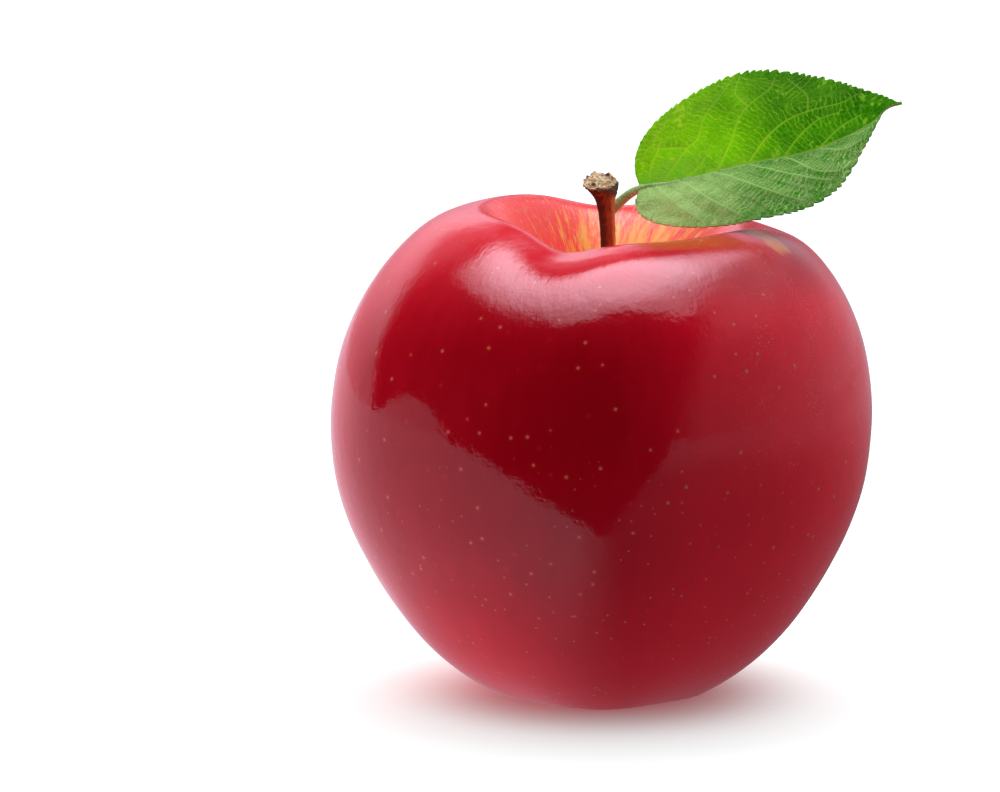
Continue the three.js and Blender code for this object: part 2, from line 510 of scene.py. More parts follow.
def millimetres(graph: ShaderGraph, origin: Colour = (0, 0, 0)) -> Shade:
    """Place on the object in millimetres.

    Args:
        graph: The graph.
        origin: The point to measure from, in millimetres.

    Returns:
        A vector.
    """
    place = graph.node("ShaderNodeTexCoord", None, None, "Object")
    return graph.vector("SUBTRACT", graph.scaled(place, 1 / MM), origin)


def output(graph: ShaderGraph, surface: Shade) -> None:
    """Ends a material's graph."""
    graph.node("ShaderNodeOutputMaterial", None, {"Surface": surface})


def solid_surface(
    graph: ShaderGraph,
    colour: Shade,
    roughness: Operand,
    normal: Shade,
    specular: float = 0.5,
    ior: float = 1.5,
) -> Shade:
    """A Principled surface.

    Args:
        graph: The graph.
        colour: Its colour.
        roughness: Its roughness.
        normal: Its relief.
        specular: Its specular level, 0.5 for what its index of refraction gives.
        ior: Its index of refraction.

    Returns:
        The surface.
    """
    inputs = {
        "Base Color": colour,
        "Roughness": roughness,
        "Specular IOR Level": specular,
        "IOR": ior,
        "Normal": normal,
    }
    return graph.node("ShaderNodeBsdfPrincipled", None, inputs)


# ---- Finishes ----


@dataclass(frozen=True)
class SkinPlace:
    """What the skin's layers read at each place: where it is, and the streaks and flecks there."""

    graph: ShaderGraph
    spot: Shade
    around: Shade
    y: Shade
    z: Shade
    hollow: Shade
    basin: Shade
    streak: Shade
    fleck: Shade


@dataclass(frozen=True)
class AppleSkin:
    """Waxed red skin over a yellow ground that shows in the stem cavity and the basin."""

    axis: Colour
    deep_red: Colour = (0.40, 0.001, 0.009)
    bright_red: Colour = (0.80, 0.007, 0.026)
    # The cavity's own red, partly painted light: brightened against the shade in the hollow, as orange
    # and golden are.
    hollow_red_and_painted_light: Colour = (0.96, 0.040, 0.030)
    orange: Colour = (0.98, 0.17, 0.02)
    golden: Colour = (0.98, 0.44, 0.05)
    olive: Colour = (0.80, 0.27, 0.02)
    pale_flesh: Colour = (0.92, 0.42, 0.26)
    lenticel: Colour = (0.62, 0.20, 0.09)
    lenticel_heart: Colour = (0.40, 0.11, 0.05)
    halo: Colour = (0.78, 0.015, 0.02)
    bloom: Colour = (0.85, 0.45, 0.47)
    dry_basin: Colour = (0.50, 0.26, 0.10)
    roughness: float = 0.075
    wax_ior: float = 1.45
    relief_depth: float = 0.035
    cheek_turn: float = -120
    # Direction of the leaf's shadow, painted as deeper red on the right shoulder.
    leaf_shadow_turn: float = -45.57
    golden_turn: float = 68
    shoulder_turn: float = -34.8
    dot_gap: float = 2.8
    fine_dot_gap: float = 2.0

    def streaks(
        self, graph: ShaderGraph, around: Shade, run: Shade, fineness: float, length: float
    ) -> Shade:
        """Noise drawn out along the meridians.

        Args:
            graph: The graph.
            around: Unit direction from the fruit's axis.
            run: Length along the meridian, in millimetres.
            fineness: Streaks per radian.
            length: Length of a streak, in millimetres.

        Returns:
            Noise from about 0.3 to 0.7.
        """
        x, y, _ = graph.parts(graph.scaled(around, fineness))
        return graph.noise(graph.joined(x, y, run / length), 1, 4, 0.6)

    def reds(self, here: SkinPlace) -> Shade:
        """The red: deep on the front cheek and behind, brighter between, with painted shade of the
        leaf's shadow deepening the right shoulder and painted light in the cavity's brighter red.

        Args:
            here: What the layers read.

        Returns:
            The colour.
        """
        graph, z = here.graph, here.z
        cloud = graph.noise(here.spot, 0.05, 3, 0.55)
        cheek = graph.toward(here.around, self.cheek_turn).step(0.55, 0.93)
        cheek = (cheek * 0.92 + 0.08) * z.step(-14, 30) * z.step(70, 50)
        redness = (here.streak - 0.5) * 0.3 + (cloud - 0.5) * 0.5 + 1.0 - cheek * 0.95
        # Painted shade: the leaf's shadow on the right shoulder is painted as deeper red.
        leaf_shadow_shade = graph.toward(here.around, self.leaf_shadow_turn).step(0.75, 0.95) * z.step(56, 63)
        behind = here.y.step(8, 28) * z.step(64, 52)
        redness = redness - leaf_shadow_shade * 0.75 - behind * 0.6
        red = graph.mix(redness.at_least(0.0).at_most(1.0), self.deep_red, self.bright_red)
        # Painted light: the cavity takes the brightened red, partly its own colour and partly making up
        # for the hollow's shade.
        return graph.mix(here.hollow.step(0.0, 0.2), red, self.hollow_red_and_painted_light)

    def ripened(self, here: SkinPlace, red: Shade) -> Shade:
        """The red with the yellow ground that streaks through it inside the stem cavity.

        Args:
            here: What the layers read.
            red: The red skin.

        Returns:
            The colour.
        """
        graph = here.graph
        facing = graph.toward(here.around, self.golden_turn).step(0.35, 1.0)
        inside = here.hollow.step(0.02, 0.2)
        ripeness = here.hollow * 0.8 + facing * inside * 0.42
        ripeness = ripeness + (here.streak - 0.5) * 1.5 + (here.fleck - 0.5) * 0.9
        ground = graph.mix(ripeness.step(0.55, 0.85), self.orange, self.golden)
        skin = graph.mix(ripeness.step(0.44, 0.62) * inside, red, ground)
        crest = here.hollow.step(0.0, 0.12) * 0.4 + here.z.step(60, 70) * 0.10
        return graph.mix(here.fleck.step(0.54, 0.66) * crest, skin, self.pale_flesh)

    def gilded(self, here: SkinPlace, skin: Shade) -> Shade:
        """The skin with the golden patch on its shoulder and the golden, dry basin.

        Args:
            here: What the layers read.
            skin: The colour so far.

        Returns:
            The colour.
        """
        graph = here.graph
        streak = here.streak - 0.5
        fleck = here.fleck - 0.5
        patch = graph.painted("golden_patch")
        patchy = patch + (streak * 1.6 + fleck) * patch.step(0, 0.3)
        skin = graph.mix(patchy.step(0.1, 1.0) * 0.6, skin, self.olive)
        gold = (here.basin + streak * 1.6) * here.basin.step(0.0, 0.2)
        skin = graph.mix(gold.step(0.25, 0.95) * 0.8, skin, self.golden)
        return graph.mix((here.basin + fleck * 0.8).step(0.55, 0.95) * 0.8, skin, self.dry_basin)

    def dotted(self, here: SkinPlace, skin: Shade) -> tuple[Shade, Shade]:
        """The skin with its corky dots, larger and sparser high up, and how much dot there is.

        Args:
            here: What the layers read.
            skin: The colour so far.

        Returns:
            The colour, and the mask of the dots.
        """
        graph, z = here.graph, here.z
        large = graph.cells(here.spot, 1 / self.dot_gap) * self.dot_gap
        aside = graph.vector("ADD", here.spot, (40, 40, 40))
        small = graph.cells(aside, 1 / self.fine_dot_gap) * self.fine_dot_gap
        outside = here.hollow.step(0.1, 0.0)
        spots = large.step(0.32, 0.12) * z.step(6, 24)
        dots = spots.at_least(small.step(0.24, 0.1) * z.step(46, 22) * 0.75) * outside
        halo = large.step(0.65, 0.3) * z.step(6, 24) * outside
        skin = graph.mix(halo * 0.22, skin, self.halo)
        skin = graph.mix(dots * 0.8, skin, self.lenticel)
        skin = graph.mix(large.step(0.16, 0.08) * spots * outside * 0.6, skin, self.lenticel_heart)
        return skin, dots

    def dusted(self, here: SkinPlace, skin: Shade, shoulder: Shade) -> Shade:
        """The skin with the faint dust of wax on its right shoulder.

        Args:
            here: What the layers read.
            skin: The colour so far.
            shoulder: Mask of the right shoulder.

        Returns:
            The colour.
        """
        graph = here.graph
        grains = graph.noise(here.spot, 3.0, 3, 0.7).step(0.56, 0.70)
        grains = grains * graph.noise(here.spot, 0.3, 2, 0.5).step(0.4, 0.65)
        return graph.mix(grains * shoulder * here.z.step(26, 52) * 0.26, skin, self.bloom)

    def material(self) -> bpy.types.Material:
        """Builds the material.

        Returns:
            The material.
        """
        made, graph = new_material("apple_skin")
        spot = millimetres(graph, self.axis)
        x, y, z = graph.parts(spot)
        around = graph.vector("NORMALIZE", graph.joined(x, y, 0.0))
        hollow = graph.painted("hollow")
        basin = graph.painted("basin")
        run = graph.painted("run")
        streak = self.streaks(graph, around, run, 16, 7)
        fleck = self.streaks(graph, around, run, 60, 1.5)
        here = SkinPlace(graph, spot, around, y, z, hollow, basin, streak, fleck)

        skin = self.gilded(here, self.ripened(here, self.reds(here)))
        skin, dots = self.dotted(here, skin)
        shoulder = graph.toward(around, self.shoulder_turn).step(0.8, 0.95)
        skin = self.dusted(here, skin, shoulder)
        gloss = self.roughness + shoulder * 0.05 + z.step(50, 66) * 0.08
        gloss = gloss + hollow.step(0, 0.4) * 0.24 + basin.step(0.3, 0.8) * 0.35
        brushed = fleck * z.step(38, 64) * 0.8
        peel = graph.noise(spot, 0.5, 3, 0.55) * 1.4 + graph.noise(spot, 3.5, 2, 0.5) * 0.12
        peel = peel + brushed + dots * 0.06
        normal = graph.relief(peel, self.relief_depth)
        output(graph, solid_surface(graph, skin, gloss, normal, ior=self.wax_ior))
        return made


@dataclass(frozen=True)
class StemBark:
    """Thin red-brown bark on the shaft and pale torn fibres on the broken knob."""

    dark: Colour = (0.07, 0.018, 0.008)
    brown: Colour = (0.36, 0.095, 0.024)
    orange: Colour = (0.68, 0.27, 0.06)
    fibre: Colour = (0.92, 0.74, 0.46)
    torn: Colour = (0.42, 0.22, 0.10)
    lichen: Colour = (0.07, 0.075, 0.055)

    def material(self) -> bpy.types.Material:
        """Builds the material.

        Returns:
            The material.
        """
        made, graph = new_material("stem_bark")
        place = millimetres(graph)
        x, y, z = graph.parts(place)
        grain = graph.noise(graph.joined(x * 2.4, y * 2.4, z * 0.35), 1, 4, 0.65)
        blotch = graph.noise(place, 0.9, 3, 0.6)
        tone = grain * 0.75 + blotch * 0.5 + graph.painted("lit_side") * 0.35 - 0.2
        bark = graph.mix(tone.step(0.25, 0.62), self.dark, self.brown)
        bark = graph.mix(tone.step(0.55, 0.95), bark, self.orange)
        crust = graph.painted("crust")
        bark = graph.mix(crust * blotch.step(0.3, 0.48), bark, self.lichen)
        broken = graph.painted("broken")
        pits = graph.noise(place, 2.6, 4, 0.7)
        wood = graph.mix(pits.step(0.42, 0.56), self.torn, self.fibre)
        wood = graph.mix(graph.noise(place, 1.3, 3, 0.6).step(0.52, 0.60), wood, self.dark)
        colour = graph.mix(broken.step(0.35, 0.65), bark, wood)
        relief = graph.relief(grain * 0.6 + pits * 0.4, 0.25)
        output(graph, solid_surface(graph, colour, 0.62 + blotch * 0.2, relief, 0.35))
        return made


class LeafFace(Enum):
    """The two faces of the blade."""

    UPPER = "leaf_upper_face"
    UNDER = "leaf_underside"


@dataclass(frozen=True)
class LeafGreen:
    """Fresh green blade with pale veins, thin enough to let light through, and soft pale down, laid
    thick over the lower half as partly painted sheen.
    """

    face: LeafFace
    green: Colour = (0.045, 0.16, 0.002)
    fresh: Colour = (0.09, 0.27, 0.003)
    lower_green: Colour = (0.045, 0.28, 0.004)
    vein: Colour = (0.66, 1.0, 0.34)
    down: Colour = (0.76, 1.0, 0.40)
    glow: Colour = (0.48, 1.0, 0.001)
    deep_glow: Colour = (0.09, 0.42, 0.001)
    vein_glow: Colour = (0.74, 1.0, 0.16)
    edge: Colour = (0.36, 0.16, 0.07)
    glow_share: float = 0.74
    rung_gap: float = 0.72

    def ribs(self, graph: ShaderGraph, where: Shade) -> Shade:
        """Side veins, the rungs between them and the fine net, 1 on a vein.

        Args:
            graph: The graph.
            where: Place on the flattened blade, in millimetres.

        Returns:
            The mask.
        """
        wander = graph.noise(where, 0.9, 2, 0.5)
        ladder = graph.painted("vein_run") / self.rung_gap + (wander - 0.5) * 1.6
        rungs = graph.maths("PINGPONG", ladder, 0.5).step(0.15, 0.05)
        faint = graph.noise(where, 0.35, 2, 0.5).step(0.25, 0.5)
        net = graph.cells(where, 1.4, "DISTANCE_TO_EDGE").step(0.12, 0.04)
        return graph.painted("vein").at_least(rungs * faint * 0.7).at_least(net * 0.22)

    def material(self) -> bpy.types.Material:
        """Builds the material.

        Returns:
            The material.
        """
        made, graph = new_material(self.face.value)
        where = graph.node("ShaderNodeUVMap", {"uv_map": "blade"})
        along, _, _ = graph.parts(where)
        lower = graph.painted("lower_half")
        fuzz = graph.painted("down")
        rib = self.ribs(graph, where)
        mottle = graph.noise(where, 0.16, 3, 0.55)
        grain = graph.noise(where, 5.5, 3, 0.7)
        hairs = grain.step(0.42, 0.60) * graph.noise(where, 0.42, 4, 0.7).step(0.38, 0.62)

        body = graph.mix(mottle.step(0.3, 0.7), self.green, self.fresh)
        # The lower half faces the light overhead. It gets its own green, thick pale down and less light
        # through it: partly real down, partly painted sheen.
        body = graph.mix(lower, body, self.lower_green)
        woolly = along.step(19, 6)
        cover = (fuzz * (hairs * (0.65 + woolly * 0.35) + woolly * 0.5)).at_most(1.0)
        colour = graph.mix(cover, body, self.down)
        colour = graph.mix(rib * (0.8 + fuzz * 0.2), colour, self.vein)
        colour = graph.mix(graph.painted("red_edge"), colour, self.edge)
        if self.face is LeafFace.UNDER:
            colour = graph.mix(0.25, colour, self.down)
        # Painted shade: the light through the blade darkens toward the tip, with random mottle.
        shade = (along.step(9, 27) * 0.8 + (mottle - 0.5) * 1.6).at_least(0.0).at_most(1.0)
        through = graph.mix(shade, self.glow, self.deep_glow)
        through = graph.mix(rib * 0.9, through, self.vein_glow)
        through = graph.mix(fuzz * 0.3, through, self.deep_glow)
        height = (1 - rib) * 0.5 + grain * 0.25 + fuzz * hairs * 0.25
        normal = graph.relief(height, 0.16)
        solid = solid_surface(graph, colour, 0.6 + fuzz * 0.2, normal, 0.08)
        glow = graph.node("ShaderNodeBsdfTranslucent", None, {"Color": through, "Normal": normal})
        dimmer = 0.7 if self.face is LeafFace.UPPER else 0.9
        share = (self.glow_share + rib * 0.2) * (1 - lower * dimmer)
        output(graph, graph.node("ShaderNodeMixShader", None, {0: share, 1: solid, 2: glow}))
        return made


@dataclass(frozen=True)
class StalkFelt:
    """Grey-green stalk under short pale hairs."""

    green: Colour = (0.30, 0.60, 0.20)
    hairs: Colour = (0.68, 0.92, 0.50)

    def material(self) -> bpy.types.Material:
        """Builds the material.

        Returns:
            The material.
        """
        made, graph = new_material("leaf_stalk_felt")
        place = millimetres(graph)
        felt = graph.noise(place, 3.5, 4, 0.7)
        tint = graph.noise(place, 0.5, 2, 0.5)
        colour = graph.mix((felt * 0.8 + tint * 0.3).step(0.42, 0.7), self.green, self.hairs)
        output(graph, solid_surface(graph, colour, 0.8, graph.relief(felt, 0.15), 0.2))
        return made


@dataclass(frozen=True)
class DriedCalyx:
    """Papery brown remains with pale down on them."""

    name: str
    dark: Colour = (0.06, 0.030, 0.016)
    brown: Colour = (0.22, 0.12, 0.06)
    down: Colour = (0.55, 0.50, 0.38)
    downy: float = 0.5

    def material(self) -> bpy.types.Material:
        """Builds the material.

        Returns:
            The material.
        """
        made, graph = new_material(self.name)
        place = millimetres(graph)
        fold = graph.noise(place, 0.9, 4, 0.65)
        hairs = graph.noise(place, 4.0, 3, 0.7)
        colour = graph.mix(fold.step(0.35, 0.65), self.dark, self.brown)
        colour = graph.mix(hairs.step(0.45, 0.65) * self.downy, colour, self.down)
        relief = graph.relief(fold + hairs * 0.3, 0.3)
        output(graph, solid_surface(graph, colour, 0.85, relief, 0.2))
        return made


# ---- Fruit ----


@dataclass(frozen=True)
class Lobe:
    """A swelling or saddle of the rim round the stem cavity."""

    direction: float
    spread: float
    lift: float


@dataclass
class Fruit:
    """The skin and flesh, one closed body with a stem cavity above and a basin below.

    The outline's rows are distance from the axis, height, how far the rim's lobes lift it and how
    far the base's lobes press it.
    """

    outline: tuple[tuple[float, float, float, float], ...] = (
        (0, 50, 0, 0),
        (2.5, 50, 0, 0),
        (6, 53.5, 0.1, 0),
        (11.1, 61.6, 0.45, 0),
        (17.2, 68.6, 0.9, 0),
        (21.4, 67.9, 1, 0),
        (27.5, 66.2, 0.7, 0),
        (37, 53, 0.25, 0),
        (38.9, 35.2, 0, 0),
        (35.4, 22.5, 0, 0.1),
        (27.9, 10, 0, 0.45),
        (20.4, 3, 0, 0.9),
        (11.2, -2.1, 0, 1),
        (8.5, -0.8, 0, 0.8),
        (4.5, 4, 0, 0.3),
        (0, 5.5, 0, 0),
    )
    rim_lobes: tuple[Lobe, ...] = (
        Lobe(14, 50, -2.8),
        Lobe(95, 21, -1.7),
        Lobe(140, 41, 0.7),
        Lobe(-79, 45, -2.4),
        Lobe(-115, 19, -2.8),
    )
    rim_lean: float = 2.4
    heart_height: float = 34
    base_lobes: int = 5
    base_lobe_depth: float = 0.35
    pleats: int = 17
    pleat_depth: float = 0.22
    crease_depth: float = 0.035
    sides: int = 384
    rows: int = 230
    patch_start: Colour = (15.5, -3.0, 66.6)
    patch_end: Colour = (22.0, -13.2, 64.8)
    patch_radius: float = 3.0

    def rim_lift(self, angle: np.ndarray) -> np.ndarray:
        """Lift of the rim in each direction, in millimetres.

        Args:
            angle: Directions round the axis, in radians.

        Returns:
            The lifts.
        """
        lift = np.zeros_like(angle)
        for lobe in self.rim_lobes:
            turn = angle - math.radians(lobe.direction)
            away = np.arctan2(np.sin(turn), np.cos(turn)) / math.radians(lobe.spread)
            lift += lobe.lift * np.exp(-away * away)
        return lift

    def build(self) -> bpy.types.Object:
        """Makes the fruit, its creases and pleats, and dresses it.

        Returns:
            The piece.
        """
        piece, share, angle = add_ball("apple_fruit", self.sides, self.rows)
        down = 1 - share
        radius, height, rim, base = spline(self.outline, down).T
        radius = np.where((down < TINY) | (down > 1 - TINY), 0, np.maximum(radius, 0))
        base_lift = -self.base_lobe_depth * np.cos(self.base_lobes * (angle + math.pi / 2))
        steps = np.linspace(0, 1, 600)
        curve = spline(self.outline, steps)
        crest = steps[np.argmax(curve[:, 1])]
        foot = steps[np.argmin(curve[:, 1])]
        hollow = np.clip(1 - down / crest, 0, 1)
        basin = np.clip((down - foot) / (1 - foot), 0, 1)
        lengths = np.concatenate([[0], np.cumsum(np.hypot(*np.diff(curve[:, :2], axis=0).T))])
        run = np.interp(down, steps, lengths)

        pleat = np.abs(np.sin(angle * self.pleats / 2 + 0.8 * np.sin(3 * angle))) - 0.5
        crease = np.sin(angle * 23 + 2.2 * np.sin(angle * 4 + 1)) * np.sin(angle * 9 + 0.6)
        radius = radius + self.crease_depth * crease * ease(0.1, 0.5, hollow) * ease(1, 0.8, hollow)
        height = height + self.pleat_depth * pleat * ease(0.25, 0.6, basin) * ease(1, 0.85, basin)
        height = height + rim * self.rim_lift(angle) + base * base_lift
        x = radius * np.cos(angle) + self.rim_lean * rim
        points = np.stack([x, radius * np.sin(angle), height], axis=1)
        skinwards = normalised(points - np.array([0, 0, self.heart_height]))
        body = ease(0.25, 0.0, hollow) * ease(6, 14, points[:, 2])
        swell = 0.05 * ripple(points, 24, 5) + 0.015 * ripple(points, 9, 8)
        points = points + skinwards * (swell * body)[:, None]
        points[:, 2] = np.maximum(points[:, 2], 0)

        low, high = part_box("fruit")
        middle = (points[:, 0].min() + points[:, 0].max()) / 2
        shift = (low.x + high.x) / 2 / MM - middle
        points[:, 0] += shift
        place_vertices(piece, points)
        paint_vertices(piece, "hollow", hollow)
        paint_vertices(piece, "basin", basin)
        paint_vertices(piece, "run", run)
        paint_vertices(piece, "golden_patch", self.patch_weight(points))
        piece.data.materials.append(AppleSkin(axis=(shift, 0, 0)).material())
        hand_over(piece, Slot.SKIN, "fruit")
        return piece

    def patch_weight(self, points: np.ndarray) -> np.ndarray:
        """Weight of the golden patch on the shoulder, from 0 to 1.

        Args:
            points: Places on the skin, in millimetres.

        Returns:
            The weights.
        """
        start = np.array(self.patch_start)
        reach = np.array(self.patch_end) - start
        t = np.clip((points - start) @ reach / (reach @ reach), 0, 1)
        away = np.linalg.norm(points - start - t[:, None] * reach, axis=1)
        return 1 - ease(0.2 * self.patch_radius, self.patch_radius, away)


# ---- Stem ----


@dataclass
class Stem:
    """The woody stem, a ribbed shaft that swells into a broken, slanted knob.

    The outline's rows are distance from its own centre line and height.
    """

    outline: tuple[tuple[float, float], ...] = (
        (0, 50.9),
        (1.15, 50.9),
        (1.25, 52.5),
        (1.0, 57),
        (1.0, 62),
        (1.05, 66),
        (1.2, 68.6),
        (1.45, 70.0),
        (2.0, 71.3),
        (2.3, 72.6),
        (2.25, 74.0),
        (1.9, 74.4),
        (0.9, 74.4),
        (0, 74.4),
    )
    bow: float = 1.05
    rib_depth: float = 0.05
    knob_start: float = 69.0
    knob_top: float = 74.4
    knob_aside: float = -0.32
    break_height: float = 72.3
    break_rise_back: float = 0.52
    break_rise_right: float = 0.02
    sides: int = 144
    rows: int = 260

    def build(self) -> bpy.types.Object:
        """Makes the stem and dresses it.

        Returns:
            The piece.
        """
        piece, share, angle = add_ball("stem", self.sides, self.rows)
        radius, height = spline(self.outline, share).T
        radius = np.where((share < TINY) | (share > 1 - TINY), 0, radius)
        foot = self.outline[0][1]
        rise = np.clip((height - foot) / (self.knob_top - foot), 0, 1)
        knob = np.clip((height - self.knob_start) / (self.knob_top - self.knob_start), 0, 1)
        rim = share[np.argmax(np.where(height > self.knob_start, radius, 0))]
        ribs = np.sin(angle * 7 + 0.12 * height) * 0.5 + np.sin(angle * 13 + 1.3 + 0.2 * height) * 0.3
        lumps = np.sin(angle * 2 + 0.6) * 0.09 + np.sin(angle * 3 + 2.2) * 0.07
        lumps = lumps + np.sin(angle * 5 + 0.4) * 0.06
        radius = radius * (1 + self.rib_depth * ribs * (1 - knob) + knob * lumps)
        x = radius * np.cos(angle)
        y = radius * np.sin(angle)
        spots = np.stack([x, y, height], axis=1)
        broken = ease(rim + 0.012, rim + 0.03, share + 0.012 * ripple(spots, 1.5, 3))
        plane = self.break_height + self.break_rise_back * y + self.break_rise_right * x
        height = height + knob**1.6 * (plane - self.knob_top)
        crack = ripple(spots, 1.5, 21) * 0.17 + ripple(spots, 0.6, 22) * 0.10
        crust = ease(0.0, 0.8, x * 0.9 - y * 0.3 + (height - 71.2) * 0.3) * ease(69.4, 70.6, height)
        rough = ripple(spots, 0.7, 31) * 0.045 * knob + ripple(spots, 1.4, 32) * 0.02
        points = np.stack([x * (1 + rough), y * (1 + rough), height + broken * crack], axis=1)
        points[:, 0] += self.axis_x() + self.bow * np.sin(math.pi * rise) + self.knob_aside * knob
        place_vertices(piece, points)
        paint_vertices(piece, "broken", broken)
        paint_vertices(piece, "crust", crust)
        paint_vertices(piece, "lit_side", np.cos(angle))
        piece.data.materials.append(StemBark().material())
        hand_over(piece, Slot.BARK, "stem")
        return piece

    @staticmethod
    def axis_x() -> float:
        """Where the fruit's axis is, from the middle of the calyx tuft, in millimetres."""
        low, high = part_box("stamen_tuft")
        return (low.x + high.x) / 2 / MM


# ---- Leaf ----


@dataclass(frozen=True)
class HalfBlade:
    """One half of the blade: its greatest width and how far its base sweeps back."""

    width: float
    sweep: float


@dataclass
class Leaf:
    """The stalk and the folded blade, in the fruit's own frame before it is centred.

    A vein's rows are its shares along the midrib and out to the margin.
    """

    midrib: tuple[Colour, ...] = (
        (5, 1.8, 70.9),
        (10.3, 1.1, 72),
        (20.4, 0, 74.6),
        (28.8, -0.8, 76.4),
        (36.8, -1.5, 80.1),
        (39.4, -1.7, 82.4),
        (41.5, -1.8, 83.1),
    )
    stalk: tuple[Colour, ...] = (
        (0.5, 2.05, 65.2),
        (0.9, 2.1, 67.2),
        (2.4, 2.15, 69),
    )
    upper: HalfBlade = HalfBlade(14.0, 0.08)
    lower: HalfBlade = HalfBlade(13.6, 0.42)
    upper_tilt: float = 29
    lower_drop: float = 29
    tip_curl: float = 50
    tip_curl_start: float = 0.7
    dish: float = 0.09
    length: float = 39.2
    thickness: float = 0.15
    tooth_pitch: float = 1.15
    tooth_depth: float = 0.42
    rows: int = 264
    columns: int = 178
    upper_veins: tuple[tuple[tuple[float, float], ...], ...] = (
        ((0.03, 0), (0.08, 0.42), (0.12, 0.58), (0.08, 0.7), (0.045, 0.6), (0.06, 0.45)),
        ((0.07, 0), (0.21, 0.34), (0.25, 0.38), (0.3, 0.6), (0.37, 0.77), (0.44, 0.97)),
        ((0.28, 0), (0.36, 0.22), (0.42, 0.46), (0.46, 0.56), (0.55, 0.74), (0.58, 0.9)),
        ((0.40, 0), (0.52, 0.26), (0.6, 0.38), (0.66, 0.43), (0.78, 0.52), (0.85, 0.75)),
        ((0.53, 0), (0.62, 0.2), (0.7, 0.32), (0.76, 0.36)),
        ((0.66, 0), (0.76, 0.16), (0.84, 0.26)),
        ((0.21, 0.34), (0.12, 0.52), (0.1, 0.66), (0.17, 0.85)),
        ((0.46, 0.56), (0.43, 0.75), (0.46, 0.95)),
        ((0.66, 0.43), (0.67, 0.66), (0.62, 0.9)),
        ((0.16, 0), (0.24, 0.12), (0.3, 0.3)),
    )
    lower_veins: tuple[tuple[tuple[float, float], ...], ...] = (
        ((0.03, 0), (0.06, -0.4), (0.05, -0.7)),
        ((0.06, 0), (0.09, -0.23), (0.18, -0.68), (0.25, -0.92)),
        ((0.14, 0), (0.18, -0.15), (0.27, -0.57), (0.38, -0.93)),
        ((0.27, 0), (0.3, -0.08), (0.43, -0.52), (0.52, -0.76), (0.58, -0.9)),
        ((0.40, 0), (0.5, -0.3), (0.6, -0.55), (0.68, -0.8)),
        ((0.52, 0), (0.55, -0.06), (0.63, -0.47), (0.72, -0.78)),
        ((0.66, 0), (0.74, -0.35), (0.82, -0.7)),
        ((0.78, 0), (0.85, -0.35), (0.9, -0.6)),
    )

    def fullness(self, t: np.ndarray) -> np.ndarray:
        """Half width along the midrib, 1 where the blade is widest."""
        return np.clip(t, 0, 1) ** 0.40 * np.clip(1 - t**3.3, 0, 1) ** 1.4 / 0.655

    def margin_run(self, t: np.ndarray, s: np.ndarray) -> np.ndarray:
        """Length along the margin from the base, in millimetres.

        Args:
            t: Shares along the midrib.
            s: Shares out to the margin, whose sign picks the half.

        Returns:
            The lengths.
        """
        shares = np.linspace(0, 1, 800)
        runs = []
        for side in (1.0, -1.0):
            line = self.flat(shares, np.full_like(shares, side))
            steps = np.hypot(*np.diff(line, axis=0).T)
            runs.append(np.interp(t, shares, np.concatenate([[0], np.cumsum(steps)])))
        return np.where(s >= 0, runs[0], runs[1])

    def flat(self, t: np.ndarray, s: np.ndarray) -> np.ndarray:
        """Places on the flattened blade, in millimetres along and across.

        Args:
            t: Shares along the midrib.
            s: Shares out to the margin, negative on the lower half.

        Returns:
            Two numbers for each point.
        """
        half = np.where(s >= 0, self.upper.width, self.lower.width)
        return np.stack([t * self.length, s * half * self.fullness(t)], axis=-1)

    def vein_mask(self, t: np.ndarray, s: np.ndarray) -> tuple[np.ndarray, np.ndarray, np.ndarray]:
        """How near each point is to a side vein.

        Args:
            t: Shares along the midrib.
            s: Shares out to the margin.

        Returns:
            Distance to the nearest side vein, that vein's half width and the length along it, in
            millimetres.
        """
        here = self.flat(t, s)
        nearest = np.full(len(t), 1e3)
        width = np.full(len(t), 0.1)
        along = np.zeros(len(t))
        for vein in self.upper_veins + self.lower_veins:
            rows = np.asarray(vein, float)
            padded = np.hstack([rows, np.zeros((len(rows), 1))])
            line = smooth_route(padded, np.linspace(0, 1, 28))
            ends = self.flat(line[:, 0], line[:, 1] + (TINY if vein in self.upper_veins else -TINY))
            run = 0.0
            for k in range(len(ends) - 1):
                start = ends[k]
                reach = ends[k + 1] - start
                share = np.clip((here - start) @ reach / max(reach @ reach, 1e-9), 0, 1)
                away = np.linalg.norm(here - start - share[:, None] * reach, axis=1)
                closer = away < nearest
                nearest = np.where(closer, away, nearest)
                length = float(np.linalg.norm(reach))
                width = np.where(closer, 0.14 - 0.07 * k / len(ends), width)
                along = np.where(closer, run + share * length, along)
                run += length
        return nearest, width, along

    @staticmethod
    def square_to(chord: np.ndarray, y: np.ndarray, z: np.ndarray) -> np.ndarray:
        """Unit directions of given depth and height, turned square to the chord."""
        direction = np.stack([np.zeros_like(y), y, z], axis=1)
        return normalised(direction - (direction @ chord)[:, None] * chord)

    def blade_points(
        self, t: np.ndarray, s: np.ndarray, lift: np.ndarray, tooth: np.ndarray
    ) -> np.ndarray:
        """Places of the blade's upper face.

        Args:
            t: Shares along the midrib.
            s: Shares out to the margin.
            lift: Relief above the smooth face, in millimetres.
            tooth: Reach past the smooth margin, in millimetres.

        Returns:
            Points in millimetres.
        """
        centre = smooth_route(self.midrib, t)
        ends = np.asarray(self.midrib, float)
        chord = normalised(ends[-1] - ends[0])
        curl = np.clip((t - self.tip_curl_start) / (1 - self.tip_curl_start), 0, None)
        drop = np.radians(self.lower_drop - self.tip_curl * curl**1.5)
        tilt = np.full_like(t, math.radians(self.upper_tilt))

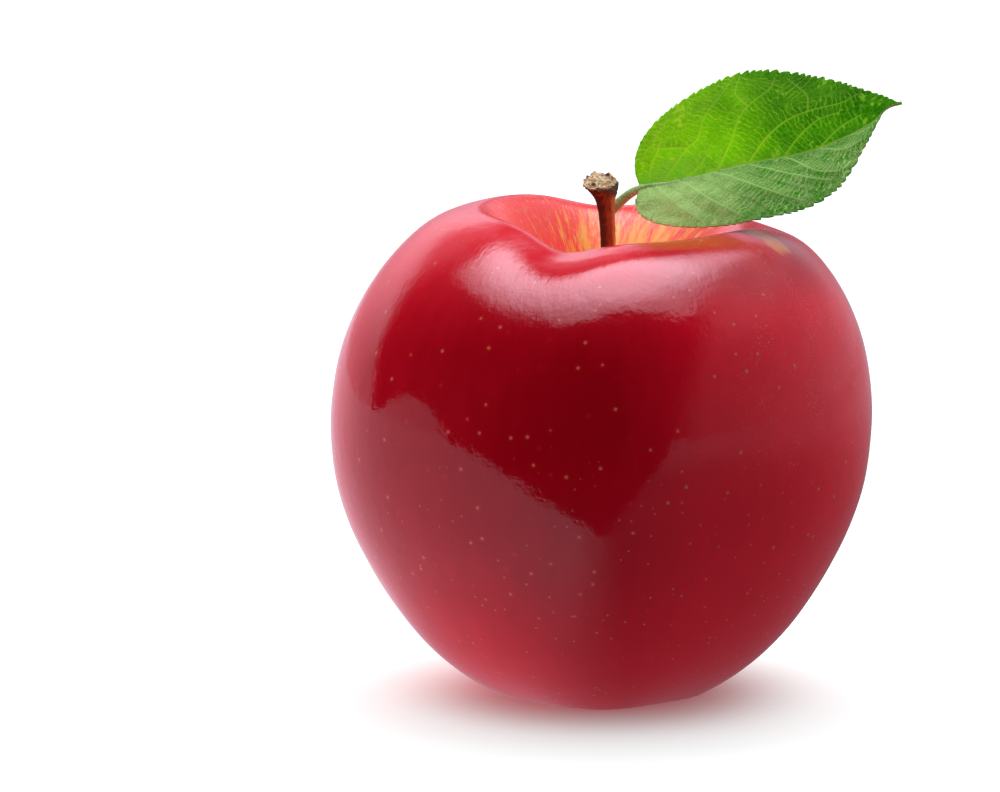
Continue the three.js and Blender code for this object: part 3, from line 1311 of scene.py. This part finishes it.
        upwards = self.square_to(chord, np.sin(tilt), np.cos(tilt))
        downwards = self.square_to(chord, -np.cos(drop), -np.sin(drop))
        face = normalised(np.cross(upwards - downwards, chord))
        is_upper = s >= 0
        reach = np.abs(s)
        half = np.where(is_upper, self.upper.width, self.lower.width)
        width = np.maximum(half * self.fullness(t), 0.3)
        sweep = np.where(is_upper, self.upper.sweep, self.lower.sweep) * (1 - t) ** 3
        outwards = np.where(is_upper[:, None], upwards, downwards)
        dish = -self.dish * width * np.sin(math.pi * reach)
        out = width * reach + tooth
        along = -sweep * width * reach + tooth * 0.6
        return (
            centre
            + outwards * out[:, None]
            + chord * along[:, None]
            + face * (dish + lift)[:, None]
        )

    def build(self, shift: float) -> list[bpy.types.Object]:
        """Makes the blade and its stalk.

        Args:
            shift: How far the object's centring moves the fruit's frame, in millimetres.

        Returns:
            The two pieces.
        """
        return [self.build_blade(shift), self.build_stalk(shift)]

    def relief(
        self, flat: np.ndarray, t: np.ndarray, s: np.ndarray, side_vein: np.ndarray, vein: np.ndarray
    ) -> np.ndarray:
        """Height of the quilting between the veins and of the blade's slow waves.

        Args:
            flat: Places on the flattened blade, in millimetres.
            t: Shares along the midrib.
            s: Shares out to the margin.
            side_vein: Distance to the nearest side vein, in millimetres.
            vein: 1 on a vein, 0 away from it.

        Returns:
            Heights above the smooth face, in millimetres.
        """
        out = np.abs(s)
        pillow = ease(0, 1.6, np.minimum(side_vein, np.abs(flat[:, 1]) * 0.8))
        puckered = np.where(s < 0, 1.0, 0.45)
        lift = -0.10 * vein + 0.22 * pillow * puckered * ease(1.0, 0.8, out)
        spots = np.hstack([flat, np.zeros((len(flat), 1))])
        lift += 0.08 * puckered * ripple(spots, 3.4, 41) * ease(1.0, 0.7, out)
        return lift + 0.22 * ripple(spots, 15, 42) * ease(0.2, 0.9, out) * ease(0, 0.15, t)

    def teeth(self, t: np.ndarray, s: np.ndarray) -> np.ndarray:
        """Reach of the margin's saw teeth past the smooth margin, in millimetres.

        Args:
            t: Shares along the midrib.
            s: Shares out to the margin.

        Returns:
            The reaches.
        """
        run = self.margin_run(t, s)
        phase = (run / self.tooth_pitch + 0.3 * np.sin(run * 0.9)) % 1
        rise = np.sin(phase / 0.75 * math.pi / 2) ** 0.6
        saw = np.where(phase < 0.75, rise, ease(1, 0.75, phase))
        envelope = (1 - 0.6 * ease(0.7, 1.0, t)) * ease(1.0, 0.97, t)
        envelope *= 1 + 0.3 * np.sin(run * 1.7 + np.sign(s))
        return self.tooth_depth * (saw - 0.5) * np.abs(s) ** 14 * envelope

    def paint_blade(
        self, piece: bpy.types.Object, t: np.ndarray, s: np.ndarray, vein: np.ndarray, run: np.ndarray
    ) -> None:
        """Stores what the blade's finish reads.

        Args:
            piece: The blade.
            t: Shares along the midrib.
            s: Shares out to the margin.
            vein: 1 on a vein, 0 away from it.
            run: Length along the nearest side vein, in millimetres.
        """
        near_base = ease(0.42, 0.05, t) * ease(0.45, 0.1, s)
        along_rib = ease(0.22, 0.0, s) * 0.55
        # Partly painted sheen: the whole lower half, which faces the light overhead, is painted almost
        # wholly downy. The upper half has down only near its base and along the midrib.
        down = np.where(s < 0, 0.85, np.maximum(near_base * 0.9, along_rib))
        red = ease(0.99, 1.0, np.abs(s)) * ease(0.0, -0.1, s) * ease(0.7, 0.9, t) * 0.6
        paint_vertices(piece, "vein", vein)
        paint_vertices(piece, "vein_run", run)
        paint_vertices(piece, "lower_half", np.where(s < 0, 1.0, 0.0))
        paint_vertices(piece, "down", down)
        paint_vertices(piece, "red_edge", np.maximum(red, ease(0.985, 0.995, t)))

    def build_blade(self, shift: float) -> bpy.types.Object:
        """Makes the blade with its veins, teeth and quilting.

        Args:
            shift: How far the object's centring moves the fruit's frame, in millimetres.

        Returns:
            The piece.
        """
        piece, t, s = add_sheet("leaf_blade", self.rows, self.columns)
        t = 0.004 + 0.992 * t
        side_vein, vein_width, vein_run = self.vein_mask(t, s)
        flat = self.flat(t, s)
        rib_width = 0.26 * (1 - 0.6 * t)
        on_side_vein = np.exp(-((side_vein / vein_width) ** 2))
        vein = np.maximum(on_side_vein, np.exp(-((flat[:, 1] / rib_width) ** 2)))
        lift = self.relief(flat, t, s, side_vein, vein)
        points = self.blade_points(t, s, lift, self.teeth(t, s))
        points[:, 0] += shift
        place_vertices(piece, points)
        self.paint_blade(piece, t, s, vein, vein_run)
        layer = piece.data.uv_layers[0]
        layer.name = "blade"
        corners = np.empty(len(piece.data.loops), dtype=np.int32)
        piece.data.loops.foreach_get("vertex_index", corners)
        layer.data.foreach_set("uv", flat[corners].astype(np.float32).ravel())
        self.face_up(piece)
        piece.data.materials.append(LeafGreen(LeafFace.UPPER).material())
        piece.data.materials.append(LeafGreen(LeafFace.UNDER).material())
        thicken(piece, self.thickness, lining=1)
        hand_over(piece, Slot.LEAF, "leaf")
        return piece

    @staticmethod
    def face_up(piece: bpy.types.Object) -> None:
        """Turns the sheet's faces toward the sky if they are not.

        Args:
            piece: The sheet.
        """
        if sum(face.normal.z * face.area for face in piece.data.polygons) < 0:
            deselect_all()
            bpy.context.view_layer.objects.active = piece
            piece.select_set(True)
            bpy.ops.object.mode_set(mode="EDIT")
            bpy.ops.mesh.select_all(action="SELECT")
            bpy.ops.mesh.flip_normals()
            bpy.ops.object.mode_set(mode="OBJECT")

    def build_stalk(self, shift: float) -> bpy.types.Object:
        """Makes the stalk, which runs on as the ridge under the midrib.

        Args:
            shift: How far the object's centring moves the fruit's frame, in millimetres.

        Returns:
            The piece.
        """
        rib = smooth_route(self.midrib, np.linspace(0, 0.92, 9))
        rib[:, 2] -= np.linspace(0.10, 0.24, 9)
        route = np.vstack([np.asarray(self.stalk, float), rib])
        route[:, 0] += shift
        radii = (
            (0, 0),
            (0, 0.6),
            (0.05, 0.74),
            (0.13, 0.70),
            (0.18, 0.55),
            (0.22, 0.27),
            (0.5, 0.18),
            (0.8, 0.15),
            (1, 0.08),
            (1, 0),
        )
        piece, _, _ = sweep("leaf_stalk", route, radii, 28, 220)
        piece.data.materials.append(StalkFelt().material())
        hand_over(piece, Slot.LEAF, "leaf")
        return piece


# ---- Calyx ----


@dataclass
class Calyx:
    """The five dried sepals and the shrivelled stamens in the basin."""

    count: int = 5
    ring_radius: float = 2.1
    length: float = 4.6
    width: float = 2.6
    curl: float = 95
    foot: float = 4.25
    stamens: int = 14
    stamen_foot: float = 4.9
    paper_thickness: float = 0.22

    def build(self, axis_x: float) -> list[bpy.types.Object]:
        """Makes every sepal and the stamens.

        Args:
            axis_x: Where the fruit's axis is, in millimetres.

        Returns:
            The pieces.
        """
        paper = DriedCalyx("dried_sepal").material()
        made = [self.build_sepal(index, axis_x, paper) for index in range(self.count)]
        return made + [self.build_stamens(axis_x)]

    def build_sepal(self, index: int, axis_x: float, paper: bpy.types.Material) -> bpy.types.Object:
        """Makes one pointed, wrinkled sepal that curls outwards.

        Args:
            index: Its number, from 0.
            axis_x: Where the fruit's axis is, in millimetres.
            paper: Its finish.

        Returns:
            The piece.
        """
        piece, t, s = add_sheet(f"sepal_{index + 1}_dried", 26, 16)
        turn = 2 * math.pi * index / self.count
        outwards = np.array([math.cos(turn), math.sin(turn), 0])
        sideways = np.array([-math.sin(turn), math.cos(turn), 0])
        upwards = np.array([0.0, 0.0, 1.0])
        curl = math.radians(self.curl)
        out = self.length / curl * (1 - np.cos(curl * t))
        fall = self.length / curl * np.sin(curl * t)
        width = self.width / 2 * (1 - 0.92 * t**1.4)
        cup = 0.45 * (1 - t) * s**2
        wrinkle = 0.10 * np.sin(9 * t + 3 * s + index) + 0.08 * np.sin(7 * s + 2 * index) * t
        out = out + (wrinkle - cup) * np.cos(curl * t)
        fall = fall - (wrinkle - cup) * np.sin(curl * t)
        points = (
            np.array([axis_x, 0, self.foot])
            + outwards * (self.ring_radius + out)[:, None]
            - upwards * fall[:, None]
            + sideways * (width * s)[:, None]
        )
        place_vertices(piece, points)
        piece.data.materials.append(paper)
        thicken(piece, self.paper_thickness)
        hand_over(piece, Slot.CALYX, f"sepal_{index + 1}")
        return piece

    def build_stamens(self, axis_x: float) -> bpy.types.Object:
        """Makes the dried stamens, one piece of many bent threads.

        Args:
            axis_x: Where the fruit's axis is, in millimetres.

        Returns:
            The piece.
        """
        rng = np.random.default_rng(7)
        threads = []
        for number in range(self.stamens):
            turn = 2 * math.pi * number / self.stamens + rng.uniform(-0.2, 0.2)
            foot = rng.uniform(0.2, 0.7)
            tip = foot + rng.uniform(-0.1, 0.35)
            drop = rng.uniform(1.6, 2.6)
            bends = ((foot, turn, 0), (foot + 0.1, turn, drop * 0.5), (tip, turn + 0.3, drop))
            route = [
                (axis_x + out * math.cos(way), out * math.sin(way), self.stamen_foot - fall)
                for out, way, fall in bends
            ]
            radii = ((0, 0), (0, 0.1), (0.4, 0.08), (0.8, 0.07), (0.9, 0.2), (1, 0.18), (1, 0))
            threads.append(sweep("stamens_dried" if number == 0 else "thread", route, radii, 8, 16)[0])
        deselect_all()
        for thread in threads:
            thread.select_set(True)
        piece = threads[0]
        bpy.context.view_layer.objects.active = piece
        bpy.ops.object.join()
        piece.data.materials.append(DriedCalyx("dried_stamen", downy=0.2).material())
        hand_over(piece, Slot.CALYX, "stamen_tuft")
        return piece


# ---- Studio ----


@dataclass
class Studio:
    """A white floor, a soft light overhead and pale walls at the sides and the back."""

    camera_distance: float = 600
    camera_height: float = 41.7
    camera_rise: float = 9
    camera_aside: float = -14.23
    lens: float = 153.4
    floor_radius: float = 6.0
    room_radius: float = 8.0
    overhead_light: float = 1.95
    side_light: float = 0.85
    back_light: float = 1.0
    front_light: float = 0.13
    # Colour of the shadow painted into the shown floor's glow.
    shadow_red: Colour = (0.34, 0.17, 0.17)
    floor_grey: Colour = (0.66, 0.72, 0.72)
    floor_glow: float = 0.46
    mirrored_light: Colour = (1.0, 0.96, 1.13)

    def build(self) -> None:
        """Makes the camera, the floors and the light."""
        self.build_camera()
        self.build_shown_floor()
        self.build_mirrored_floor()
        self.build_bounce_floor()
        self.build_mirrored_room()
        self.build_world()
        scene = bpy.context.scene
        scene.view_settings.view_transform = "Standard"
        scene.view_settings.look = "None"
        scene.cycles.use_denoising = True
        scene.cycles.max_bounces = 8

    def build_camera(self) -> None:
        """Places the camera in front of the apple and a little above it."""
        low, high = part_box("fruit")
        target = Vector(((low.x + high.x) / 2 + self.camera_aside * MM, 0, self.camera_height * MM))
        rise = math.radians(self.camera_rise)
        back = Vector((0, -math.cos(rise), math.sin(rise)))
        data = bpy.data.cameras.new("camera")
        data.lens = self.lens
        data.clip_start = 0.02
        data.clip_end = 50
        camera = bpy.data.objects.new("camera", data)
        camera.location = target + back * self.camera_distance * MM
        camera.rotation_euler = (-back).to_track_quat("-Z", "Y").to_euler()
        bpy.context.scene.collection.objects.link(camera)
        bpy.context.scene.camera = camera

    def add_floor(self, name: str, drop: float) -> bpy.types.Object:
        """Adds a round floor.

        Args:
            name: Its name.
            drop: How far below the apple's foot it is, in millimetres.

        Returns:
            The floor.
        """
        deselect_all()
        bpy.ops.mesh.primitive_circle_add(
            vertices=96, radius=self.floor_radius, fill_type="NGON", location=(0, 0, -drop * MM)
        )
        floor = bpy.context.object
        floor.name = floor.data.name = name
        floor.visible_shadow = False
        return floor

    def build_shown_floor(self) -> None:
        """The floor that is looked at, white beyond the apple's soft shadow. That shadow falls on its
        lit part and is also painted as a reddish darkening of its glow round the apple.
        """
        floor = self.add_floor("floor", 0.05)
        floor.visible_diffuse = False
        floor.visible_glossy = False
        floor.visible_transmission = False
        made, graph = new_material("white_floor")
        place = millimetres(graph, (-2.0, 0, 0))
        x, y, _ = graph.parts(place)
        reach = graph.maths("SQRT", x * x + y * y)
        # Painted shadow: the floor's glow is reddish and darker round the apple, out to 34 mm from its
        # middle.
        tint = graph.mix(reach.step(12, 34), self.shadow_red, (1.0, 1.0, 1.0))
        lit = graph.node("ShaderNodeBsdfDiffuse", None, {"Color": (*self.floor_grey, 1)})
        glow = graph.node("ShaderNodeEmission", None, {"Color": tint, "Strength": self.floor_glow})
        output(graph, graph.node("ShaderNodeAddShader", None, {0: lit, 1: glow}))
        floor.data.materials.append(made)

    def build_mirrored_floor(self) -> None:
        """The floor as the glossy skin mirrors it, bright at the left and dim at the right."""
        floor = self.add_floor("mirrored_floor", 0.3)
        floor.visible_camera = False
        floor.visible_diffuse = False
        floor.visible_transmission = False
        made, graph = new_material("floor_mirrored")
        x, y, _ = graph.parts(millimetres(graph))
        outwards = (x * -1 - 5).at_least(0.01) / 32
        from_left = y + 73 + graph.maths("POWER", outwards, 0.826) * 28
        from_right = y + 80 + x * 1.72
        open_left = from_left.step(-3, 4) * x.step(5, -15)
        open_right = from_right.step(-10, 14) * x.step(-15, 5)
        # Painted shadow: the left glow dims toward the apple's foot, where the apple shades the floor.
        near = graph.maths("SQRT", x * x + y * y)
        left_glow = 0.34 + near.step(15, 60) * 0.44
        right_glow = 0.14 + near.step(60, 420) * 0.26
        self.make_glow(floor, made, graph, open_left * left_glow + open_right * right_glow)

    def build_bounce_floor(self) -> None:
        """The floor as it lights the apple softly from below, most from the left."""
        floor = self.add_floor("bounce_floor", 0.4)
        floor.visible_camera = False
        floor.visible_glossy = False
        made, graph = new_material("floor_bounce")
        x, y, _ = graph.parts(millimetres(graph))
        self.make_glow(floor, made, graph, (0.29 + x.step(6, -34) * 0.74) * y.step(-150, -90))

    def build_mirrored_room(self) -> None:
        """The room as the glossy skin mirrors it: a soft box overhead, pale walls, dark in front."""
        deselect_all()
        bpy.ops.mesh.primitive_uv_sphere_add(segments=64, ring_count=32, radius=self.room_radius)
        room = bpy.context.object
        room.name = room.data.name = "mirrored_room"
        room.visible_camera = False
        room.visible_diffuse = False
        room.visible_transmission = False
        room.visible_shadow = False
        made, graph = new_material("room_mirrored")
        place = graph.node("ShaderNodeTexCoord", None, None, "Object")
        x, y, z = graph.parts(graph.vector("NORMALIZE", place))
        turn = graph.maths("ARCTAN2", x, -y) * (180 / math.pi)
        rise = graph.maths("ARCSINE", z) * (180 / math.pi)
        height = z.at_least(0.02)
        aside = x / height
        front = -y / height
        box = self.soft_box(aside, front) * z.step(0.3, 0.45)
        ahead = front + 0.1
        middle = graph.maths("SQRT", aside * aside + ahead * ahead)
        box_glow = box * (2.6 + middle.step(0.60, 0.25) * 6.0)
        walls = self.left_walls(turn, rise) + self.right_walls(turn, rise, box)
        self.make_glow(room, made, graph, box_glow + walls)

    @staticmethod
    def soft_box(aside: Shade, front: Shade) -> Shade:
        """Outline of the soft box overhead, 1 inside it.

        Args:
            aside: How far to the right a direction meets a ceiling of unit height.
            front: How far to the front it does.

        Returns:
            The mask.
        """
        back_edge = (aside * -0.9 - 0.64).at_most(-0.34)
        box = front.step(0.53, 0.45) * (front - aside * 1.23).step(1.10, 1.00)
        box = box * aside.step(0.66, 0.50) * (aside - front * 0.43).step(-0.70, -0.54)
        return box * (front - back_edge).step(-0.05, 0.05) * front.step(-0.86, -0.72)

    @staticmethod
    def left_walls(turn: Shade, rise: Shade) -> Shade:
        """The bright wall behind at the left, the low card before it and the glow above it.

        Args:
            turn: Degrees from the front, toward the right.
            rise: Degrees above the floor.

        Returns:
            Their brightness.
        """
        wall_top = (turn * -1.4 - 158.4).at_most(30)
        wall = (wall_top - rise).step(-2, 2) * (0.5 + rise.step(4, 24) * 0.75) * turn.step(-100, -110)
        above = turn.step(-124, -136) * rise.step(56, 46) * 0.4
        card_top = 8.5 - (turn + 87) * (turn + 87) * 0.023
        card = (card_top - rise).step(-1.2, 1.2) * turn.step(-40, -50) * 0.6
        return wall.at_least(card).at_least(above)

    @staticmethod
    def right_walls(turn: Shade, rise: Shade, box: Shade) -> Shade:
        """The dim wall at the right, the glow above it and the end of the room behind it.

        Args:
            turn: Degrees from the front, toward the right.
            rise: Degrees above the floor.
            box: The soft box's outline.

        Returns:
            Their brightness.
        """
        edge = turn - 30 - rise * rise * 0.012
        wall = edge.step(-4, 12) * (0.25 + turn.step(50, 120) * 0.25) * turn.step(178, 150)
        above = turn.step(45, 70) * rise.step(26, 44) * (1 - box) * turn.step(160, 120) * 0.45
        end = turn.step(140, 165) * (0.05 + rise.step(4, 22) * 0.6) * rise.step(36, 26)
        return wall + above + end

    def make_glow(
        self, piece: bpy.types.Object, made: bpy.types.Material, graph: ShaderGraph, strength: Shade
    ) -> None:
        """Ends a glowing surface's material and puts it on.

        Args:
            piece: The surface.
            made: Its material.
            graph: The material's graph.
            strength: Brightness at each place.
        """
        inputs = {"Color": (*self.mirrored_light, 1), "Strength": strength}
        output(graph, graph.node("ShaderNodeEmission", None, inputs))
        made.cycles.emission_sampling = "NONE"
        piece.data.materials.append(made)

    def build_world(self) -> None:
        """The soft light on everything: white overhead and from both sides, little from in front."""
        world = bpy.data.worlds.new("studio")
        world.use_nodes = True
        bpy.context.scene.world = world
        graph = ShaderGraph(world.node_tree)
        x, y, z = graph.parts(graph.node("ShaderNodeTexCoord", None, None, "Generated"))
        overhead = (z * 0.95 + y * 0.3).step(0.55, 0.88) * self.overhead_light
        left = (x * -1).step(0.6, 1.0) * self.side_light
        right = x.step(0.6, 0.98) * self.side_light
        back = y.step(0.1, 0.8) * self.back_light
        strength = overhead + left + right + back + self.front_light
        light = graph.node("ShaderNodeBackground", None, {"Color": (1, 1, 1, 1), "Strength": strength})
        white = graph.node("ShaderNodeBackground", None, {"Color": (1, 1, 1, 1), "Strength": 1.0})
        seen = graph.node("ShaderNodeLightPath", None, None, "Is Camera Ray")
        both = graph.node("ShaderNodeMixShader", None, {0: seen, 1: light, 2: white})
        graph.node("ShaderNodeOutputWorld", None, {"Surface": both})


def main() -> None:
    """Builds the apple round the frame."""
    logging.basicConfig(level=logging.INFO, format="%(name)s %(message)s")
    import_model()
    Studio().build()
    Fruit().build()
    Stem().build()
    axis_x = Stem.axis_x()
    Leaf().build(axis_x + LEAF_ASIDE)
    Calyx().build(axis_x)


if __name__ == "__main__":
    main()
